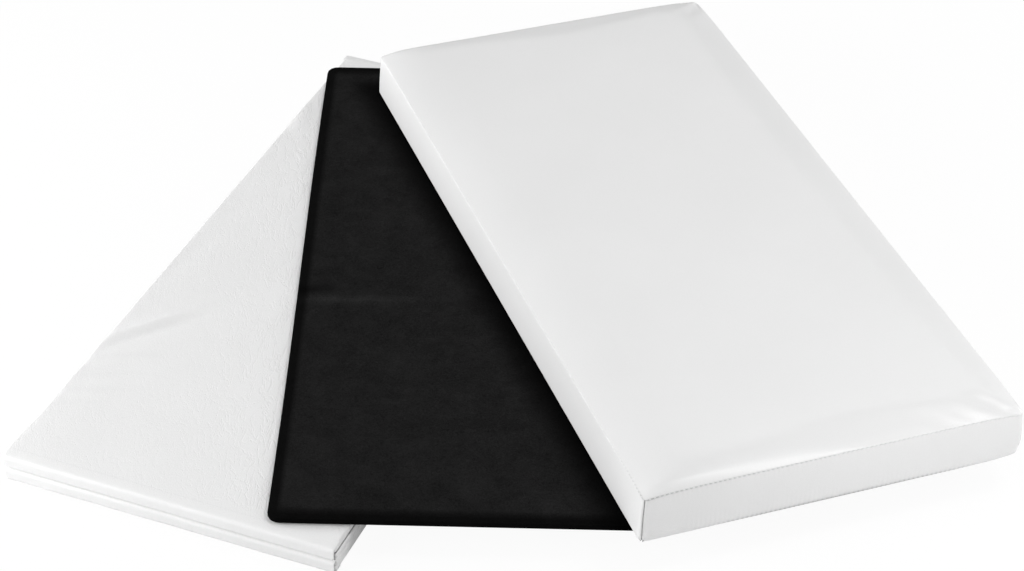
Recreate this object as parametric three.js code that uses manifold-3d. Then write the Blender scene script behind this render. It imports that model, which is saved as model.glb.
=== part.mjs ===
// Storage bench that folds flat, laid out as three loose pieces: the collapsed box body, its bottom board and its lid.
// Millimetres, +Z up. The origin is the centre of the folded body's underside; the body's long side runs along Y.
import * as THREE from 'three';
import { mergeVertices } from 'three/addons/utils/BufferGeometryUtils.js';
import Module from 'manifold-3d';

const wasm = await Module();
wasm.setup();

// Driving sizes of the box body
const wallLength = 736; // long walls, end to end
const wallHeight = 327; // from the standing edge to the rim; lies across X while folded
const boxWidth = 348; // clear width inside the opened box, which the end walls span
const leather = 1.2; // backed leather skin
const hardboard = 4.8; // stiffener inside each wall
const liningCloth = 0.8; // cloth that closes each wall on its inside
const layerGap = 0.3; // air between two folded layers, and around what sits in a skin
const cornerReach = 3; // from a long wall's end to the corner fold
const creaseReach = 2; // from a half wall's inner end to the crease between the halves

// Driving sizes of the loose bottom board
const boardClearance = 1; // between the board and each wall of the opened box
const boardCore = 3.6;
const boardCloth = 0.6; // cloth sleeve round the board
const boardCornerRadius = 11;

// Driving sizes of the lid
const lidOverhang = 2; // of the lid past the opened box, all round
const lidSide = 46.2; // underside to the top seam
const crownHeight = 9; // of the padding above the seam
const railHeight = 32;
const railWidth = 15;
const deckThickness = 3.2; // board that carries the foam
const hemWidth = 14; // leather turned in under the rails
const dustCloth = 0.8;

// Where the loose pieces lie on the folded body, as shares of the body's width and length
const boardAcrossShare = 0.3835;
const boardAlongShare = 0.0628;
const lidAcrossShare = 0.894;
const lidAlongShare = 0.194;
const boardTurn = THREE.MathUtils.degToRad(20.75);
const lidTurn = THREE.MathUtils.degToRad(41.28);

// Shape of the crown: how late it falls off towards the edges, and how round its shoulder is
const crownAcrossPower = 6;
const crownAlongPower = 12;
const crownShoulderPower = 0.5;
const crownAcrossShares = [0, 0.012, 0.03, 0.06, 0.11, 0.19, 0.32, 0.5];
const crownAlongShares = [0, 0.006, 0.015, 0.03, 0.055, 0.1, 0.18, 0.32, 0.5];
const ribShares = [-1 / 6, 1 / 6]; // cross ribs, from the middle of the lid's length

// Sizes that follow from these
const wallThickness = leather + hardboard + liningCloth;
const layerPitch = wallThickness + layerGap;
const foldLine = wallLength / 2 + cornerReach; // from the middle to the corner fold
const halfSpan = (boxWidth - layerGap) / 2; // corner fold to crease
const halfLength = halfSpan - cornerReach - creaseReach;
const stackHeight = 4 * layerPitch - layerGap;
const openLength = 2 * (foldLine + layerGap / 2 + wallThickness);
const openWidth = boxWidth + 2 * wallThickness + layerGap;
const boardLength = 2 * (foldLine - boardClearance);
const boardWidth = boxWidth - 2 * boardClearance;
const boardThickness = 2 * boardCloth + boardCore + 2 * layerGap;
const boardLevel = stackHeight + layerGap;
const lidLevel = boardLevel + boardThickness + layerGap;
const lidLength = openLength + 2 * lidOverhang;
const lidWidth = openWidth + 2 * lidOverhang;
const cutOverrun = wallThickness; // how far a cutting solid runs past what it cuts

// Finishes
const whiteLeather = new THREE.MeshStandardMaterial({ color: 0xe9e9e9, roughness: 0.42, metalness: 0, flatShading: true });
const greyLining = new THREE.MeshStandardMaterial({ color: 0x2b2b2d, roughness: 0.95, metalness: 0, flatShading: true });
const blackCloth = new THREE.MeshStandardMaterial({ color: 0x141415, roughness: 0.95, metalness: 0, flatShading: true });
const brownBoard = new THREE.MeshStandardMaterial({ color: 0x8c6a47, roughness: 0.8, metalness: 0, flatShading: true });
const paleTimber = new THREE.MeshStandardMaterial({ color: 0xcfae7c, roughness: 0.75, metalness: 0, flatShading: true });
const creamFoam = new THREE.MeshStandardMaterial({ color: 0xe8dfb8, roughness: 1, metalness: 0, flatShading: true });

// A three.js geometry as a solid that can be cut
function toSolid(geometry) {
  const bare = geometry.clone();
  bare.deleteAttribute('normal');
  bare.deleteAttribute('uv');
  const welded = mergeVertices(bare);
  return new wasm.Manifold(new wasm.Mesh({
    numProp: 3,
    vertProperties: Float32Array.from(welded.attributes.position.array),
    triVerts: Uint32Array.from(welded.index.array),
  }));
}

// A solid back as a three.js geometry
function toGeometry(solid) {
  const mesh = solid.getMesh();
  const geometry = new THREE.BufferGeometry();
  geometry.setAttribute('position', new THREE.BufferAttribute(Float32Array.from(mesh.vertProperties), 3));
  geometry.setIndex(new THREE.BufferAttribute(Uint32Array.from(mesh.triVerts), 1));
  geometry.computeVertexNormals();
  return geometry;
}

// A block between two corners
function block(low, high) {
  const size = high.map((value, i) => value - low[i]);
  const geometry = new THREE.BoxGeometry(...size);
  return geometry.translate(...low.map((value, i) => value + size[i] / 2));
}

// A flat plate with round corners, its underside at the given level
function roundedPlate(width, length, radius, level, thickness) {
  const x = width / 2 - radius;
  const y = length / 2 - radius;
  const outline = new THREE.Shape();
  outline.absarc(x, y, radius, 0, Math.PI / 2);
  outline.absarc(-x, y, radius, Math.PI / 2, Math.PI);
  outline.absarc(-x, -y, radius, Math.PI, 1.5 * Math.PI);
  outline.absarc(x, -y, radius, 1.5 * Math.PI, 2 * Math.PI);
  outline.closePath();
  const geometry = new THREE.ExtrudeGeometry(outline, { depth: thickness, bevelEnabled: false, curveSegments: 6 });
  return geometry.translate(0, 0, level);
}

function piece(name, geometry, material) {
  const mesh = new THREE.Mesh(geometry, material);
  mesh.name = name;
  return mesh;
}

// One stiff wall: leather tray, hardboard and lining cloth. outerUp says which way its leather faces.
function wall(prefix, length, outerUp, middle, level) {
  const x = wallHeight / 2;
  const y = length / 2;
  const pocketX = x - leather;
  const pocketY = y - leather;
  const fillX = pocketX - layerGap;
  const fillY = pocketY - layerGap;
  const pocketLow = outerUp ? -cutOverrun : leather;
  const pocketHigh = outerUp ? wallThickness - leather : wallThickness + cutOverrun;
  const blank = toSolid(block([-x, -y, 0], [x, y, wallThickness]));
  const pocket = toSolid(block([-pocketX, -pocketY, pocketLow], [pocketX, pocketY, pocketHigh]));
  const coreLow = outerUp ? liningCloth : leather;
  const liningLow = outerUp ? 0 : leather + hardboard;
  const core = block([-fillX, -fillY, coreLow], [fillX, fillY, coreLow + hardboard]);
  const lining = block([-fillX, -fillY, liningLow], [fillX, fillY, liningLow + liningCloth]);
  const group = new THREE.Group();
  group.position.set(0, middle, level);
  group.add(piece(prefix + '_cover', toGeometry(blank.subtract(pocket)), whiteLeather));
  group.add(piece(prefix + '_stiffener', core, brownBoard));
  group.add(piece(prefix + '_lining', lining, greyLining));
  return group;
}

// A leather strip that carries a fold, across a wall's end: side is -1 or 1 along Y
function foldStrip(name, end, side, level) {
  const x = wallHeight / 2;
  const near = Math.min(end, end + side * leather);
  const far = Math.max(end, end + side * leather);
  return piece(name, block([-x, near, level], [x, far, level + wallThickness]), whiteLeather);
}

// The collapsed body: back wall, the two halves of each end wall, front wall
function foldedBody() {
  const group = new THREE.Group();
  const frontLevel = 3 * layerPitch;
  group.add(wall('back_wall', wallLength, false, 0, 0));
  group.add(wall('front_wall', wallLength, true, 0, frontLevel));
  for (const [end, side] of [['near', -1], ['far', 1]]) {
    const middle = side * (wallLength / 2 - halfLength / 2);
    const innerEnd = side * (wallLength / 2 - halfLength);
    group.add(wall(end + '_end_lower', halfLength, true, middle, layerPitch));
    group.add(wall(end + '_end_upper', halfLength, false, middle, 2 * layerPitch));
    group.add(foldStrip(end + '_back_corner_strip', side * wallLength / 2, side, 0));
    group.add(foldStrip(end + '_front_corner_strip', side * wallLength / 2, side, frontLevel));
    group.add(foldStrip(end + '_crease_strip', innerEnd, -side, layerPitch));
  }
  return group;
}

// The loose bottom board: a thin stiff board in a sewn cloth sleeve
function bottomBoard() {
  const group = new THREE.Group();
  const sleeveLow = boardCloth + layerGap;
  const pocketHigh = boardThickness - boardCloth;
  const pocketWidth = boardWidth - 2 * boardCloth;
  const pocketLength = boardLength - 2 * boardCloth;
  const pocketRadius = boardCornerRadius - boardCloth;
  const coreWidth = pocketWidth - 2 * layerGap;
  const coreLength = pocketLength - 2 * layerGap;
  const blank = toSolid(roundedPlate(boardWidth, boardLength, boardCornerRadius, sleeveLow, boardThickness - sleeveLow));
  const pocketDepth = pocketHigh - sleeveLow + cutOverrun;
  const pocket = toSolid(roundedPlate(pocketWidth, pocketLength, pocketRadius, sleeveLow - cutOverrun, pocketDepth));
  const under = roundedPlate(boardWidth, boardLength, boardCornerRadius, 0, boardCloth);
  const core = roundedPlate(coreWidth, coreLength, pocketRadius - layerGap, sleeveLow, boardCore);
  group.add(piece('board_sleeve_top', toGeometry(blank.subtract(pocket)), blackCloth));
  group.add(piece('board_sleeve_under', under, blackCloth));
  group.add(piece('board_core', core, brownBoard));
  group.position.set(boardAcrossShare * wallHeight, boardAlongShare * wallLength, boardLevel);
  group.rotation.z = boardTurn;
  return group;
}

// Height of the padding above the seam, for a place in the lid's plan
function crown(x, y) {
  const across = Math.max(0, 1 - Math.abs(2 * x / lidWidth) ** crownAcrossPower);
  const along = Math.max(0, 1 - Math.abs(2 * y / lidLength) ** crownAlongPower);
  return crownHeight * (across * along) ** crownShoulderPower;
}

// Positions from edge to edge, from shares given for the first half
function stations(size, shares) {
  const mirrored = shares.slice(0, -1).reverse().map((share) => 1 - share);
  return [...shares, ...mirrored].map((share) => (share - 0.5) * size);
}

// A closed solid between a lower and an upper surface over a rectangle
function betweenSurfaces(width, length, lower, upper) {
  const xs = stations(width, crownAcrossShares);
  const ys = stations(length, crownAlongShares);
  const points = [];
  const faces = [];
  for (const surface of [lower, upper]) {
    for (const y of ys) {
      for (const x of xs) points.push(x, y, surface(x, y));
    }
  }
  const layer = xs.length * ys.length;
  const at = (i, j, top) => (top ? layer : 0) + j * xs.length + i;
  const quad = (a, b, c, d) => faces.push(a, b, c, a, c, d);
  for (let j = 0; j + 1 < ys.length; j += 1) {
    for (let i = 0; i + 1 < xs.length; i += 1) {
      quad(at(i, j, true), at(i + 1, j, true), at(i + 1, j + 1, true), at(i, j + 1, true));
      quad(at(i, j, false), at(i, j + 1, false), at(i + 1, j + 1, false), at(i + 1, j, false));
    }
  }
  const lastX = xs.length - 1;
  const lastY = ys.length - 1;
  for (let i = 0; i < lastX; i += 1) {
    quad(at(i, 0, false), at(i + 1, 0, false), at(i + 1, 0, true), at(i, 0, true));
    quad(at(i + 1, lastY, false), at(i, lastY, false), at(i, lastY, true), at(i + 1, lastY, true));
  }
  for (let j = 0; j < lastY; j += 1) {
    quad(at(lastX, j, false), at(lastX, j + 1, false), at(lastX, j + 1, true), at(lastX, j, true));
    quad(at(0, j + 1, false), at(0, j, false), at(0, j, true), at(0, j + 1, true));
  }
  const geometry = new THREE.BufferGeometry();
  geometry.setAttribute('position', new THREE.Float32BufferAttribute(points, 3));
  geometry.setIndex(faces);
  geometry.computeVertexNormals();
  return geometry;
}

// Levels inside the lid, from its underside up
const railLow = leather + layerGap;
const railHigh = railLow + railHeight;
const deckLow = railHigh + layerGap;
const foamLow = deckLow + deckThickness + layerGap;
const coverUnder = lidSide - leather;
const insetX = lidWidth / 2 - leather - layerGap; // what sits inside the leather sides
const insetY = lidLength / 2 - leather - layerGap;

// The leather sides, each a standing strip with its lower edge turned in under the rails
function lidSides() {
  const x = lidWidth / 2;
  const y = lidLength / 2;
  const high = coverUnder - layerGap;
  const shortX = x - leather - layerGap;
  const shortHemX = x - hemWidth - layerGap;
  const sides = [];
  for (const [name, side] of [['lid_side_left', -1], ['lid_side_right', 1]]) {
    const standing = toSolid(block([side < 0 ? -x : x - leather, -y, 0], [side < 0 ? -x + leather : x, y, high]));
    const hem = toSolid(block([side < 0 ? -x : x - hemWidth, -y, 0], [side < 0 ? -x + hemWidth : x, y, leather]));
    sides.push(piece(name, toGeometry(standing.add(hem)), whiteLeather));
  }
  for (const [name, side] of [['lid_side_near', -1], ['lid_side_far', 1]]) {
    const standingLow = side < 0 ? -y : y - leather;
    const hemLow = side < 0 ? -y : y - hemWidth;
    const standing = toSolid(block([-shortX, standingLow, leather + layerGap], [shortX, standingLow + leather, high]));
    const foot = toSolid(block([-shortHemX, standingLow, 0], [shortHemX, standingLow + leather, high]));
    const hem = toSolid(block([-shortHemX, hemLow, 0], [shortHemX, hemLow + hemWidth, leather]));
    sides.push(piece(name, toGeometry(standing.add(foot).add(hem)), whiteLeather));
  }
  return sides;
}

// The timber frame, with its cross ribs
function lidFrame() {
  const innerX = insetX - railWidth - layerGap;
  const frame = [];
  for (const [name, side] of [['lid_rail_left', -1], ['lid_rail_right', 1]]) {
    const low = side < 0 ? -insetX : insetX - railWidth;
    frame.push(piece(name, block([low, -insetY, railLow], [low + railWidth, insetY, railHigh]), paleTimber));
  }
  for (const [name, side] of [['lid_rail_near', -1], ['lid_rail_far', 1]]) {
    const low = side < 0 ? -insetY : insetY - railWidth;
    frame.push(piece(name, block([-innerX, low, railLow], [innerX, low + railWidth, railHigh]), paleTimber));
  }
  ribShares.forEach((share, i) => {
    const low = share * lidLength - railWidth / 2;
    const rib = block([-innerX, low, railLow], [innerX, low + railWidth, railHigh]);
    frame.push(piece('lid_rib_' + (i + 1), rib, paleTimber));
  });
  return frame;
}

// The padded lid
function lid() {
  const group = new THREE.Group();
  const foamTop = (x, y) => coverUnder - layerGap + crown(x, y);
  const clothX = lidWidth / 2 - hemWidth - layerGap;
  const clothY = lidLength / 2 - hemWidth - layerGap;
  const dustLow = railLow - layerGap - dustCloth;
  group.add(...lidSides());
  group.add(...lidFrame());
  group.add(piece('lid_deck', block([-insetX, -insetY, deckLow], [insetX, insetY, deckLow + deckThickness]), paleTimber));
  const foamBlank = toSolid(betweenSurfaces(lidWidth, lidLength, () => foamLow, foamTop));
  const foamBounds = toSolid(block([-insetX, -insetY, 0], [insetX, insetY, lidSide + crownHeight]));
  group.add(piece('lid_foam', toGeometry(foamBlank.intersect(foamBounds)), creamFoam));
  const top = (x, y) => lidSide + crown(x, y);
  const under = (x, y) => coverUnder + crown(x, y);
  group.add(piece('lid_top_cover', betweenSurfaces(lidWidth, lidLength, under, top), whiteLeather));
  group.add(piece('lid_dust_cover', block([-clothX, -clothY, dustLow], [clothX, clothY, dustLow + dustCloth]), blackCloth));
  group.position.set(lidAcrossShare * wallHeight, lidAlongShare * wallLength, lidLevel);
  group.rotation.z = lidTurn;
  return group;
}

const group = new THREE.Group();
group.add(foldedBody());
group.add(bottomBoard());
group.add(lid());

export default group;
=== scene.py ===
# %% [markdown]
# # A folding storage bench, laid out in three pieces
# The bench is a padded storage box that comes apart for shipping. Its box body folds flat into four
# layers of leather-covered board, a loose board in a black cloth sleeve makes the bottom, and a
# cushioned lid closes it. The three lie fanned out on each other.
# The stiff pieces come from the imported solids. This script dresses them in leather, cloth and timber.
# Lengths and levels are read from the solids, and only soft forms, such as rolls, folds and puckers,
# have sizes of their own.

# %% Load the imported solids
import math

import bmesh
import bpy
import numpy as np
from mathutils import Matrix, Vector


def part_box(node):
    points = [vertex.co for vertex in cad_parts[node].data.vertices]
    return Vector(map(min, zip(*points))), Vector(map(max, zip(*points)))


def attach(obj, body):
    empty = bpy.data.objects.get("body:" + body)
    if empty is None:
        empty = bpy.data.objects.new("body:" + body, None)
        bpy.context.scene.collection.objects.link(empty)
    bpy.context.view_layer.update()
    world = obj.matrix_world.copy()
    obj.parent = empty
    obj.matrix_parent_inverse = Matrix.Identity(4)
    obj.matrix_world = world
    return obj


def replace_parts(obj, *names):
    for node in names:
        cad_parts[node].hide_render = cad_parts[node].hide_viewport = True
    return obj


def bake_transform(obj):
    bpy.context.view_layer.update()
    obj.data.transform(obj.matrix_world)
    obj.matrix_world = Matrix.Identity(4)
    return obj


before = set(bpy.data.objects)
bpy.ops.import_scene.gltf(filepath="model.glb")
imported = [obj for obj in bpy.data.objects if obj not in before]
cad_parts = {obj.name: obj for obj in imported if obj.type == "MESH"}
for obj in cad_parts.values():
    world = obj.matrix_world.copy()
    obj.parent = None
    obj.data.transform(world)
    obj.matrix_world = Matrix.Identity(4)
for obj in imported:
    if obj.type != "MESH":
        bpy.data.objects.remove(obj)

scene = bpy.context.scene
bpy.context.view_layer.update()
MM = 0.001
UPRIGHT = math.radians(90)

# %% [markdown]
# ## The camera
# A photograph of flat goods on a table shows straight edges, so its camera can be worked out from
# them: the place, the direction and the lens below make the solids' edges fall on the photographed
# ones. Setting the camera first lets each later piece be judged in the right view.

# %% Camera
CAMERA_PLACE = Vector((910.2, -1884.5, 1568.9)) * MM
AZIMUTH, PITCH, ROLL = (math.radians(angle) for angle in (21.19, 36.70, 0.99))
LENS_MM = 92.74


def add_object(name, data):
    made = bpy.data.objects.new(name, data)
    scene.collection.objects.link(made)
    return made


camera_data = bpy.data.cameras.new("Camera")
camera_data.lens = LENS_MM
camera = add_object("Camera", camera_data)
camera.matrix_world = (
    Matrix.Translation(CAMERA_PLACE)
    @ Matrix.Rotation(AZIMUTH, 4, "Z")
    @ Matrix.Rotation(UPRIGHT - PITCH, 4, "X")
    @ Matrix.Rotation(ROLL, 4, "Z")
)
scene.camera = camera
print("camera looks down", round(math.degrees(PITCH), 1), "degrees")

# %% [markdown]
# ## Where the turned pieces lie
# The board and the lid are turned on the folded body. It is easiest to model them straight, in their
# own plan, and to turn the finished mesh. Turning a solid's corners back by the same angle gives the
# half width and half length of that plan, so no size is typed twice.

# %% Plans of the turned pieces
BOARD_TURN = math.radians(20.75)
LID_TURN = math.radians(41.28)


def plan_of(node, turn):
    low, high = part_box(node)
    centre = (low + high) / 2
    back = Matrix.Rotation(-turn, 3, "Z")
    corners = np.array([back @ (v.co - centre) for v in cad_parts[node].data.vertices])
    place = Matrix.Translation((centre.x, centre.y, 0)) @ Matrix.Rotation(turn, 4, "Z")
    half_x, half_y = corners.max(0)[:2]
    return place, float(half_x), float(half_y)


lid_place, lid_x, lid_y = plan_of("lid_top_cover", LID_TURN)
board_place, board_x, board_y = plan_of("board_sleeve_under", BOARD_TURN)
print("lid", round(2 * lid_x, 4), "by", round(2 * lid_y, 4))
print("board", round(2 * board_x, 4), "by", round(2 * board_y, 4))

# %% [markdown]
# ## Making a soft pad from a grid
# Walls, board and cushion are all flat pads with rolled edges and round corners. A grid over the plan
# suits them: lines stand close together where the edge rolls over and further apart on the flat, each
# corner's lines are pulled in onto its arc, and two height rules give the upper and lower surface.
# Both surfaces meet in the outline, where their points are merged, so the pad is closed.

# %% Pad builder
ROLL_LINES = 6  # grid lines over a rolled edge
MERGE_DISTANCE = 0.002 * MM


def grid_lines(half, roll, step, extra=()):
    ring = [roll * (1 - math.cos(UPRIGHT * k / ROLL_LINES)) for k in range(ROLL_LINES)]
    inner = np.linspace(-half + roll, half - roll, max(2, round(2 * (half - roll) / step) + 1))
    sides = [side * (half - r) for r in [*ring, *extra] for side in (-1, 1)]
    return np.array(sorted({round(float(v), 7) for v in [*inner, *sides]}))


def finish_mesh(name, points, faces, place=Matrix.Identity(4)):
    mesh = bpy.data.meshes.new(name)
    mesh.from_pydata([tuple(p) for p in points], [], faces)
    shape = bmesh.new()
    shape.from_mesh(mesh)
    bmesh.ops.remove_doubles(shape, verts=shape.verts, dist=MERGE_DISTANCE)
    shape.to_mesh(mesh)
    shape.free()
    mesh.transform(place)
    mesh.shade_smooth()
    return add_object(name, mesh)


def pad(name, place, half_x, half_y, corner, roll, step, top, under, extra=()):
    xs = grid_lines(half_x, roll, step, extra)
    ys = grid_lines(half_y, roll, step, extra)
    across, along = np.meshgrid(xs, ys)
    inset = np.minimum(half_x - abs(across), half_y - abs(along))
    over_x = abs(across) - (half_x - corner)
    over_y = abs(along) - (half_y - corner)
    rounded = (over_x > 0) & (over_y > 0)
    reach = np.maximum(np.hypot(over_x, over_y), 1e-9)
    pull = np.maximum(over_x, over_y) / reach
    x = np.where(rounded, np.sign(across) * (half_x - corner + over_x * pull), across)
    y = np.where(rounded, np.sign(along) * (half_y - corner + over_y * pull), along)
    layers = [np.stack([x, y, rule(x, y, inset)], -1).reshape(-1, 3) for rule in (top, under)]
    columns = len(xs)
    layer = columns * len(ys)
    faces = []
    for j in range(len(ys) - 1):
        for i in range(columns - 1):
            a = j * columns + i
            quad = (a, a + 1, a + 1 + columns, a + columns)
            faces.append(quad)
            faces.append(tuple(layer + v for v in reversed(quad)))
    return finish_mesh(name, np.vstack(layers), faces, place)


def rolled(inset, roll):
    """From 0 at the outline to 1 where the rolled edge ends, as a quarter of an ellipse"""
    return np.sqrt(np.clip(1 - (1 - np.clip(inset / roll, 0, 1)) ** 2, 0, 1))


def local_points(piece, place):
    back = place.inverted()
    return np.array([back @ v.co for v in piece.data.vertices])


def mark(piece, name, values):
    """Keeps a number or a vector at each point, for a material to read"""
    kind, key = ("FLOAT", "value") if values.ndim == 1 else ("FLOAT_VECTOR", "vector")
    made = piece.data.attributes.new(name, kind, "POINT")
    made.data.foreach_set(key, values.astype(np.float32).ravel())


print("a rolled edge has", ROLL_LINES, "grid lines")

# %% [markdown]
# ## Soft unevenness
# Leather over board is never quite flat. Two rules cover what the eye sees: a slow waviness from a few
# crossing waves, and single folds, each a soft ridge along a line that fades at both ends.

# %% Waves and folds
GOLDEN_TURN, WAVE_COUNT = math.radians(137.5), 5


def waves(x, y, size, seed):
    total = 0
    for k in range(1, WAVE_COUNT + 1):
        angle = GOLDEN_TURN * k + seed
        length = size * (0.7 + 0.17 * k)
        ahead = x * math.cos(angle) + y * math.sin(angle)
        total = total + np.sin(ahead / length * math.tau + seed * k)
    return total / WAVE_COUNT


def fold(x, y, start, end, width, height):
    run = np.array(end) - np.array(start)
    length = math.hypot(*run)
    ahead, side = run / length, np.array([-run[1], run[0]]) / length
    along = ((x - start[0]) * ahead[0] + (y - start[1]) * ahead[1]) / length
    off = (x - start[0]) * side[0] + (y - start[1]) * side[1]
    fade = np.clip(1 - (2 * along - 1) ** 2, 0, 1)
    return height * fade * np.exp(-((off / width) ** 2))


sample = waves(*np.meshgrid(range(9), range(9)), 1.7, 1)
print("highest of 81 wave heights", round(float(abs(sample).max()), 2))

# %% [markdown]
# ## Leather, cloth and timber
# The coverings differ in scale more than in kind, so each effect is a node group with its sizes as
# inputs: a pebbled leather grain, fibres for cloth and thread, a slow drift of tone, wood grain, and
# the puckers beside a seam. A material places the groups with its own values and keeps its own shader.
# A node tree is long to write out, so one helper makes a node and fills its inputs: what comes from
# another node is linked, and a plain value is set.

# %% Node helpers
def feed(tree, value, socket):
    """Links another node's output to this input, or sets a plain value"""
    if isinstance(value, bpy.types.NodeSocket):
        tree.links.new(value, socket)
    else:
        socket.default_value = value


def node(tree, kind, settings=None, **inputs):
    made = tree.nodes.new(kind)
    for key, value in (settings or {}).items():
        setattr(made, key, value)
    for key, value in inputs.items():
        feed(tree, value, made.inputs[key.replace("_", " ")])
    return made


def maths(tree, operation, *values):
    made = node(tree, "ShaderNodeMath", {"operation": operation})
    for value, socket in zip(values, made.inputs):
        feed(tree, value, socket)
    return made.outputs[0]


def off_middle(tree, value, amount):
    """How far a noise is off its middle, times an amount"""
    return maths(tree, "MULTIPLY", maths(tree, "SUBTRACT", value, 0.5), amount)


def noise(tree, vector, size, **inputs):
    """A noise whose spots are about one size across"""
    scale = maths(tree, "DIVIDE", 1, size)
    return node(tree, "ShaderNodeTexNoise", Vector=vector, Scale=scale, **inputs).outputs["Fac"]


def shader_group(name, inputs, outputs):
    group = bpy.data.node_groups.new(name, "ShaderNodeTree")
    for title, value in {"Vector": None, **inputs}.items():
        kind = "NodeSocketVector" if value is None else "NodeSocketFloat"
        socket = group.interface.new_socket(title, in_out="INPUT", socket_type=kind)
        if value is not None:
            socket.default_value = value
    for title in outputs:
        group.interface.new_socket(title, in_out="OUTPUT", socket_type="NodeSocketFloat")
    given = group.nodes.new("NodeGroupInput")
    return group, given.outputs, group.nodes.new("NodeGroupOutput").inputs


def place_group(tree, group, vector, **inputs):
    return node(tree, "ShaderNodeGroup", {"node_tree": group}, Vector=vector, **inputs).outputs


print("node helpers ready")

# %% Leather grain
VALLEY_WIDTH, CREASE_WIDTH = 0.16, 0.035  # as shares of a pebble and of the creases' noise
leather_sizes = {"Pebble Size": 0.001, "Crease Size": 0.012, "Crease Share": 0.3}
leather_grain, given, result = shader_group("Leather grain", leather_sizes, ["Height", "Hollow"])
soft = {"interpolation_type": "SMOOTHSTEP"}
pebbles = node(
    leather_grain,
    "ShaderNodeTexVoronoi",
    {"feature": "DISTANCE_TO_EDGE"},
    Vector=given["Vector"],
    Scale=maths(leather_grain, "DIVIDE", 1, given["Pebble Size"]),
)
valley = node(
    leather_grain, "ShaderNodeMapRange", soft, Value=pebbles.outputs["Distance"], From_Max=VALLEY_WIDTH
).outputs["Result"]
creases = noise(
    leather_grain, given["Vector"], given["Crease Size"], Detail=4, Roughness=0.6, Distortion=0.6
)
ridge = maths(leather_grain, "ABSOLUTE", maths(leather_grain, "SUBTRACT", creases, 0.5))
line = node(leather_grain, "ShaderNodeMapRange", soft, Value=ridge, From_Max=CREASE_WIDTH)
crease_height = maths(leather_grain, "MULTIPLY", line.outputs["Result"], given["Crease Share"])
feed(leather_grain, maths(leather_grain, "ADD", valley, crease_height), result["Height"])
feed(leather_grain, maths(leather_grain, "SUBTRACT", 1, valley), result["Hollow"])
print("leather grain has", len(leather_grain.nodes), "nodes")

# %% Cloth fibres, slow drift of tone, and wood grain
cloth_fibres, given, result = shader_group(
    "Cloth fibres", {"Fibre Size": 0.002, "Mottle Size": 0.02}, ["Height", "Mottle"]
)
fibres = noise(
    cloth_fibres, given["Vector"], given["Fibre Size"], Detail=6, Roughness=0.7, Distortion=2.2
)
mottle = noise(
    cloth_fibres, given["Vector"], given["Mottle Size"], Detail=5, Roughness=0.62, Distortion=0.5
)
feed(cloth_fibres, fibres, result["Height"])
feed(cloth_fibres, mottle, result["Mottle"])

tone_drift, given, result = shader_group("Tone drift", {"Size": 0.15, "Amount": 0.03}, ["Tone"])
drift = noise(tone_drift, given["Vector"], given["Size"], Detail=2, Roughness=0.5)
swing = off_middle(tone_drift, drift, given["Amount"])
feed(tone_drift, maths(tone_drift, "ADD", swing, 1), result["Tone"])

wood_grain, given, result = shader_group("Wood grain", {"Ring Size": 0.006}, ["Grain"])
stretch = node(wood_grain, "ShaderNodeMapping", Vector=given["Vector"], Scale=(1, 0.06, 1))
grain = noise(
    wood_grain, stretch.outputs["Vector"], given["Ring Size"], Detail=5, Roughness=0.65, Distortion=0.4
)
feed(wood_grain, grain, result["Grain"])
print("groups", [group.name for group in (cloth_fibres, tone_drift, wood_grain)])

# %% [markdown]
# ## What a seam looks like close up
# The thread gathers the leather in small puckers that die away from the seam, and the gap between two
# panels gets a thin dark line of painted shade, broken by the stitches. Both follow the seam, not the
# object's axes, so every leather piece of the lid keeps three numbers at each point: how far along the
# seam it is, how far from it, and how dark the seam's painted shade is there. The group draws from those.

# %% Seam puckers and painted seam shade
DASH_DEPTH = 0.3  # how much the stitches break up a faint line of painted shade
SOLID_POWER = 3  # the higher, the less of the line is dark enough to run on unbroken
seam_sizes = {"Pitch": 0.0045, "Reach": 0.003, "Line Width": 0.0006}
seam_puckers, given, result = shader_group("Seam puckers", seam_sizes, ["Height", "Line"])


def fading(distance, reach):
    """From 1 at no distance to almost 0 at a few times the reach"""
    share = maths(seam_puckers, "DIVIDE", distance, reach)
    return maths(seam_puckers, "EXPONENT", maths(seam_puckers, "MULTIPLY", share, -1))


run, gap, strength = node(seam_puckers, "ShaderNodeSeparateXYZ", Vector=given["Vector"]).outputs
turns = maths(seam_puckers, "DIVIDE", run, given["Pitch"])
ripple = maths(seam_puckers, "COSINE", maths(seam_puckers, "MULTIPLY", turns, math.tau))
puckers = maths(seam_puckers, "MULTIPLY", ripple, fading(gap, given["Reach"]))
dashes = maths(seam_puckers, "MULTIPLY_ADD", ripple, -DASH_DEPTH, 1 - DASH_DEPTH)
solid = maths(seam_puckers, "POWER", strength, SOLID_POWER)
dashes_or_solid = maths(seam_puckers, "MAXIMUM", dashes, solid)
# the seam's line of painted shade, dark in the groove and fading beside it
seam_shade_line = maths(seam_puckers, "MULTIPLY", fading(gap, given["Line Width"]), strength)
feed(seam_puckers, puckers, result["Height"])
feed(seam_puckers, maths(seam_puckers, "MULTIPLY", seam_shade_line, dashes_or_solid), result["Line"])
print("seam puckers has", len(seam_puckers.nodes), "nodes")

# %% Material helpers
# how deep the seam puckers are, and how dark the seam's painted shade is
PUCKER_DEPTH, SEAM_SHADE_DARKNESS = 0.08 * MM, 0.75
# the grain's hollows are coloured a little darker
HOLLOW_DARKENING = -0.03
LEATHER_COAT = {"Coat_Weight": 0.2, "Coat_Roughness": 0.2}
WOOD_RELIEF = 0.2 * MM


def start_material(name, **constants):
    made = bpy.data.materials.new(name)
    made.use_nodes = True
    tree = made.node_tree
    shader = tree.nodes["Principled BSDF"].inputs
    for key, value in constants.items():
        shader[key.replace("_", " ")].default_value = value
    return made, tree, shader, node(tree, "ShaderNodeTexCoord").outputs["Object"]


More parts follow.
